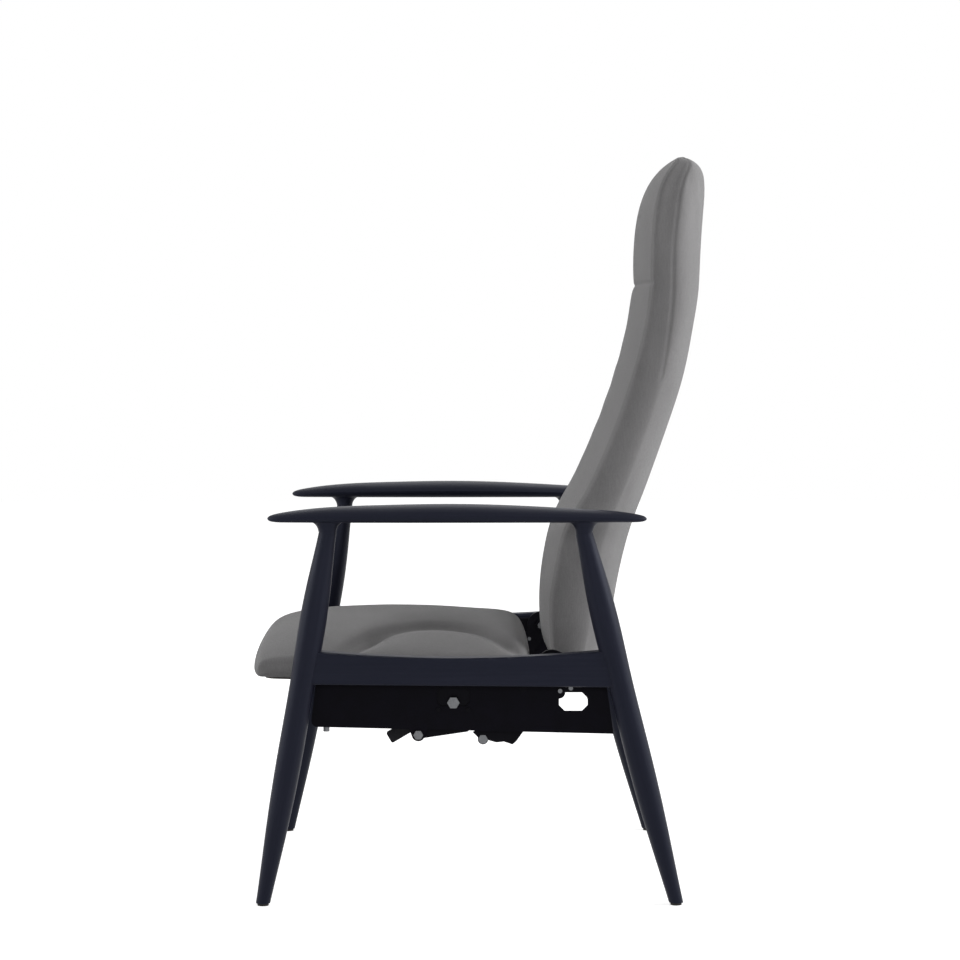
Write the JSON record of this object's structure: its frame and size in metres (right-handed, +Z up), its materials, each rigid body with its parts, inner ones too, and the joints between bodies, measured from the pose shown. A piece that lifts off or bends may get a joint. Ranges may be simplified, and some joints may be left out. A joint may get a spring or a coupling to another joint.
{
  "type": "recliner",
  "caption": "High-back reclining armchair in grey cloth with pointed wooden armrests and splayed round legs; seat and back tilt together on steel side plates.",
  "frame": {"origin": "on the floor, at the centre of the chair's outline", "axes": "the chair faces -Y, the sitter's left is +X, +Z is up"},
  "size_m": [0.6602, 0.7428, 1.19],
  "materials": {
    "walnut": "satin lacquered",
    "beech": "unfinished",
    "felt": "pressed felt",
    "black_steel": "powder coated",
    "zinc": "zinc plated",
    "black_plastic": "moulded",
    "black_rubber": "matt",
    "plywood": "stained dark",
    "grey_cloth": "fine woven cloth"
  },
  "bodies": {
    "frame": {"front_leg_left": "walnut", "front_leg_right": "walnut", "rear_leg_left": "walnut", "rear_leg_right": "walnut", "armrest_left": "walnut", "armrest_right": "walnut", "side_rail_left": "walnut", "side_rail_right": "walnut", "rail_dowels": "beech", "leg_glides": "felt", "chassis_plate_left": "black_steel", "chassis_plate_right": "black_steel", "seat_pivot_bearings": "black_steel", "seat_pivot_bolts": "zinc", "rail_screws": "zinc", "plate_screws": "zinc", "bearing_screws": "black_steel", "front_crossmember": "black_steel", "rear_crossmember": "black_steel", "crossmember_screws": "zinc", "spring_front_pin": "zinc", "link_pins": "black_steel"},
    "seat": {"seat_arm_left": "black_steel", "seat_arm_right": "black_steel", "seat_front_bar": "black_steel", "seat_rear_bar": "black_steel", "seat_board": "plywood", "seat_screws": "zinc", "seat_cushion": "grey_cloth", "back_pivot_bolts": "zinc", "back_pivot_nuts": "black_steel"},
    "back": {"back_bracket_left": "black_steel", "back_bracket_right": "black_steel", "back_crossbar": "black_steel", "back_torque_tube": "black_steel", "bracket_screws": "zinc", "toe_bolts": "zinc", "spring_rear_pin": "zinc", "link_rivets": "zinc", "back_board": "plywood", "board_screws": "zinc", "back_cushion": "grey_cloth", "head_pillow": "grey_cloth"},
    "link_left": {"sync_link_left": "black_steel"},
    "link_right": {"sync_link_right": "black_steel"},
    "spring_piston": {"gas_spring_rod": "zinc", "gas_spring_head": "black_steel"},
    "spring_body": {"gas_spring_cylinder": "black_steel", "gas_spring_guide": "black_plastic"},
    "release": {"release_shaft": "black_steel", "release_lever_left": "black_steel", "release_lever_right": "black_steel", "release_grips": "black_rubber", "release_shaft_caps": "zinc"},
    "strap": {"release_strap": "zinc"},
    "trigger": {"release_trigger": "black_steel"}
  },
  "joints": [
    {"name": "seat_tilt", "type": "hinge", "parent": "frame", "child": "seat", "pos_m": [0, -0.043, 0.321], "axis": [-1, 0, 0], "range_deg": [0, 7]},
    {"name": "back_recline", "type": "hinge", "parent": "seat", "child": "back", "pos_m": [0, 0.11299, 0.379], "axis": [-1, 0, 0], "range_deg": [0, 21]},
    {"name": "sync_link_left_swing", "type": "hinge", "parent": "frame", "child": "link_left", "pos_m": [0, 0.068, 0.343], "axis": [-1, 0, 0], "range_deg": [0, 39.5]},
    {"name": "sync_link_right_swing", "type": "hinge", "parent": "frame", "child": "link_right", "pos_m": [0, 0.068, 0.343], "axis": [-1, 0, 0], "range_deg": [0, 39.5]},
    {"name": "gas_spring_swing", "type": "hinge", "parent": "frame", "child": "spring_piston", "pos_m": [0, -0.213, 0.318], "axis": [1, 0, 0], "range_deg": [0, 7.6]},
    {"name": "gas_spring_stroke", "type": "slide", "parent": "spring_piston", "child": "spring_body", "axis": [0, -0.9921, 0.1256], "range_m": [0, 0.031]},
    {"name": "release_lever", "type": "hinge", "parent": "frame", "child": "release", "pos_m": [0, -0.0985, 0.2695], "axis": [-1, 0, 0], "range_deg": [0, 15], "stiffness_Nm_per_rad": 1.2},
    {"name": "release_strap_swing", "type": "hinge", "parent": "release", "child": "strap", "pos_m": [0, -0.0985, 0.2915], "axis": [-1, 0, 0], "range_deg": [-15, 0]},
    {"name": "release_trigger_swing", "type": "hinge", "parent": "frame", "child": "trigger", "pos_m": [0, -0.213, 0.318], "axis": [-1, 0, 0], "range_deg": [0, 15]}
  ],
  "couplings": [
    {"joint": "seat_tilt", "follows": "back_recline", "ratio": 0.33333},
    {"joint": "sync_link_left_swing", "follows": "back_recline", "ratio": 1.8713},
    {"joint": "sync_link_right_swing", "follows": "back_recline", "ratio": 1.8713},
    {"joint": "gas_spring_swing", "follows": "back_recline", "ratio": 0.3555},
    {"joint": "gas_spring_stroke", "follows": "back_recline", "m_per_rad": 0.0833},
    {"joint": "release_strap_swing", "follows": "release_lever", "ratio": -1},
    {"joint": "release_trigger_swing", "follows": "release_lever", "ratio": 1}
  ]
}
